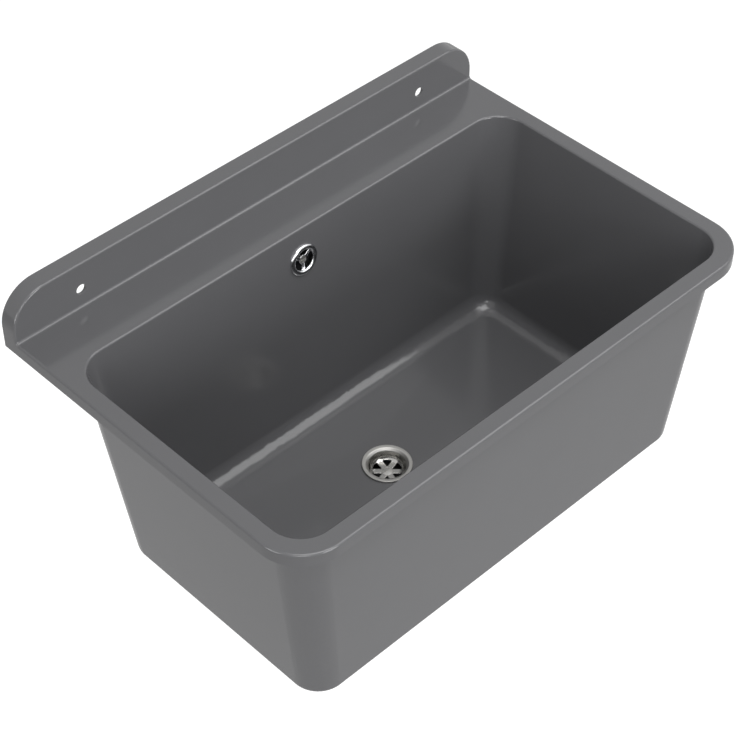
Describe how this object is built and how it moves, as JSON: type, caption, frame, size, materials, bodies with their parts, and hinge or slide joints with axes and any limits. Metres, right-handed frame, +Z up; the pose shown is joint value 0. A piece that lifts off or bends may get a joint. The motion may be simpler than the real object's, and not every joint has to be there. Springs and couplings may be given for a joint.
{
  "type": "mop service sink",
  "caption": "Wall-hung dark grey plastic mop sink with a deep tapered bowl, flat rim, upstand with two screw holes, steel strainer waste and piped overflow.",
  "frame": {"origin": "middle of the wall face, at the height of the rim's top surface", "axes": "+Y into the wall, +X along the wall to the right of someone facing it, +Z up"},
  "size_m": [0.6, 0.4, 0.367],
  "materials": {
    "grey_polypropylene": "semi-gloss moulded",
    "stainless_steel": "pressed and polished",
    "chrome_plate": "bright plated",
    "black_polypropylene": "moulded",
    "hose_polyethylene": "corrugated, blow moulded",
    "black_rubber": "moulded",
    "brass": "turned"
  },
  "bodies": {
    "root": {"tub": "grey_polypropylene", "strainer_cup": "stainless_steel", "strainer_screw": "stainless_steel", "strainer_seal": "black_rubber", "waste_gasket": "black_rubber", "waste_body": "black_polypropylene", "waste_insert_nut": "brass", "overflow_grille": "chrome_plate", "overflow_screw": "stainless_steel", "overflow_gasket": "black_rubber", "overflow_elbow": "black_polypropylene", "overflow_insert_nut": "brass", "overflow_hose": "hose_polyethylene", "upper_hose_nut": "black_polypropylene", "lower_hose_nut": "black_polypropylene", "upper_hose_seal": "black_rubber", "lower_hose_seal": "black_rubber"}
  },
  "joints": []
}
